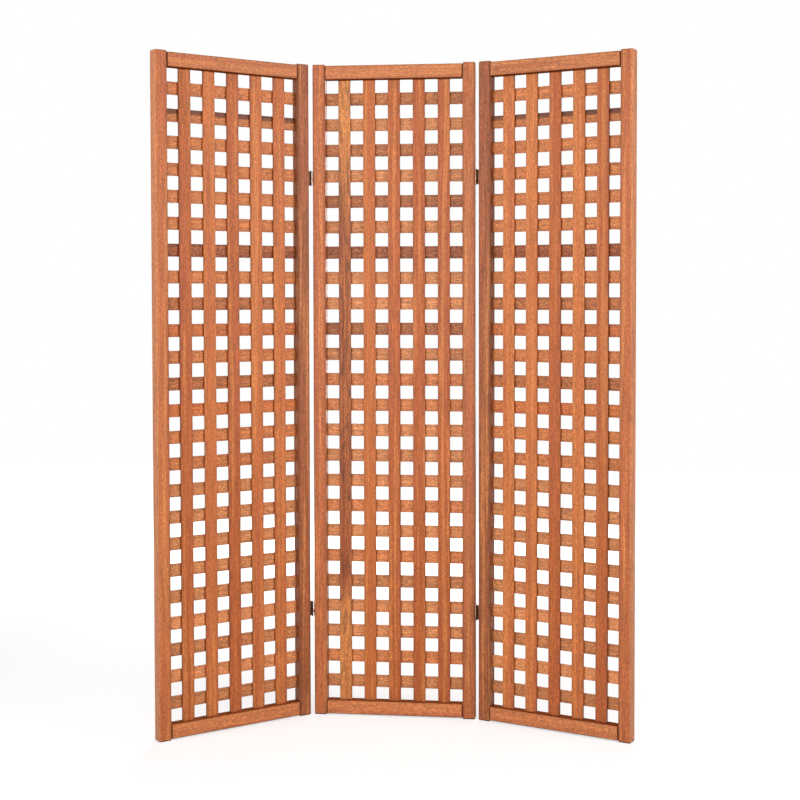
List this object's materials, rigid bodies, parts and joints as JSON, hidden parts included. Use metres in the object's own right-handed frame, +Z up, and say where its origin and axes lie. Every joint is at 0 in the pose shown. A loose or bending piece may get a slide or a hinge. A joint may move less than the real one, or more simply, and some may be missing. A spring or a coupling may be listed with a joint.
{
  "type": "folding screen",
  "caption": "Free-standing folding room screen: framed panels of square wooden lattice joined by double-action hinges, so each wing folds forward or backward.",
  "frame": {"origin": "on the floor, under the middle of the standing screen's outline", "axes": "+Z up; the centre panel stands parallel to the XZ plane with its front towards -Y; both wings stand forward of it; +X to the right seen from the front"},
  "size_m": [1.2498, 0.3352, 1.8],
  "materials": {
    "stile_wood": "oiled satin, open pores",
    "rail_wood": "oiled satin, open pores",
    "upright_slat_wood": "oiled satin, open pores",
    "cross_slat_wood": "oiled satin, open pores",
    "dowel_wood": "plain beech",
    "hinge_plate_metal": "dark antique bronze",
    "hinge_pin_metal": "dark antique bronze",
    "hinge_screw_metal": "dark antique bronze"
  },
  "bodies": {
    "centre_panel": {"centre_panel_left_stile": "stile_wood", "centre_panel_right_stile": "stile_wood", "centre_panel_bottom_rail": "rail_wood", "centre_panel_top_rail": "rail_wood", "centre_panel_upright_slat_1": "upright_slat_wood", "centre_panel_upright_slat_2": "upright_slat_wood", "centre_panel_upright_slat_3": "upright_slat_wood", "centre_panel_upright_slat_4": "upright_slat_wood", "centre_panel_upright_slat_5": "upright_slat_wood", "centre_panel_cross_slats": "cross_slat_wood", "centre_panel_rail_dowels": "dowel_wood", "upper_left_hinge_panel_leaf": "hinge_plate_metal", "lower_left_hinge_panel_leaf": "hinge_plate_metal", "upper_right_hinge_panel_leaf": "hinge_plate_metal", "lower_right_hinge_panel_leaf": "hinge_plate_metal", "centre_panel_hinge_screws": "hinge_screw_metal"},
    "left_hinge_links": {"upper_left_hinge_link": "hinge_plate_metal", "upper_left_hinge_front_pin": "hinge_pin_metal", "upper_left_hinge_back_pin": "hinge_pin_metal", "lower_left_hinge_link": "hinge_plate_metal", "lower_left_hinge_front_pin": "hinge_pin_metal", "lower_left_hinge_back_pin": "hinge_pin_metal"},
    "left_wing": {"left_wing_hinge_stile": "stile_wood", "left_wing_free_stile": "stile_wood", "left_wing_bottom_rail": "rail_wood", "left_wing_top_rail": "rail_wood", "left_wing_upright_slat_1": "upright_slat_wood", "left_wing_upright_slat_2": "upright_slat_wood", "left_wing_upright_slat_3": "upright_slat_wood", "left_wing_upright_slat_4": "upright_slat_wood", "left_wing_upright_slat_5": "upright_slat_wood", "left_wing_cross_slats": "cross_slat_wood", "left_wing_rail_dowels": "dowel_wood", "upper_left_hinge_wing_leaf": "hinge_plate_metal", "lower_left_hinge_wing_leaf": "hinge_plate_metal", "left_wing_hinge_screws": "hinge_screw_metal"},
    "right_hinge_links": {"upper_right_hinge_link": "hinge_plate_metal", "upper_right_hinge_front_pin": "hinge_pin_metal", "upper_right_hinge_back_pin": "hinge_pin_metal", "lower_right_hinge_link": "hinge_plate_metal", "lower_right_hinge_front_pin": "hinge_pin_metal", "lower_right_hinge_back_pin": "hinge_pin_metal"},
    "right_wing": {"right_wing_hinge_stile": "stile_wood", "right_wing_free_stile": "stile_wood", "right_wing_bottom_rail": "rail_wood", "right_wing_top_rail": "rail_wood", "right_wing_upright_slat_1": "upright_slat_wood", "right_wing_upright_slat_2": "upright_slat_wood", "right_wing_upright_slat_3": "upright_slat_wood", "right_wing_upright_slat_4": "upright_slat_wood", "right_wing_upright_slat_5": "upright_slat_wood", "right_wing_cross_slats": "cross_slat_wood", "right_wing_rail_dowels": "dowel_wood", "upper_right_hinge_wing_leaf": "hinge_plate_metal", "lower_right_hinge_wing_leaf": "hinge_plate_metal", "right_wing_hinge_screws": "hinge_screw_metal"}
  },
  "joints": [
    {"name": "left_forward_fold", "type": "hinge", "parent": "centre_panel", "child": "left_hinge_links", "pos_m": [-0.26668, 0.1341, 0.893], "axis": [0, 0, 1], "range_deg": [-42, 138]},
    {"name": "left_backward_fold", "type": "hinge", "parent": "left_hinge_links", "child": "left_wing", "pos_m": [-0.28943, 0.15937, 0.893], "axis": [0, 0, -1], "range_deg": [0, 90]},
    {"name": "right_forward_fold", "type": "hinge", "parent": "centre_panel", "child": "right_hinge_links", "pos_m": [0.19232, 0.1341, 0.893], "axis": [0, 0, -1], "range_deg": [-22, 68]},
    {"name": "right_backward_fold", "type": "hinge", "parent": "right_hinge_links", "child": "right_wing", "pos_m": [0.20505, 0.16563, 0.893], "axis": [0, 0, 1], "range_deg": [0, 180]}
  ]
}
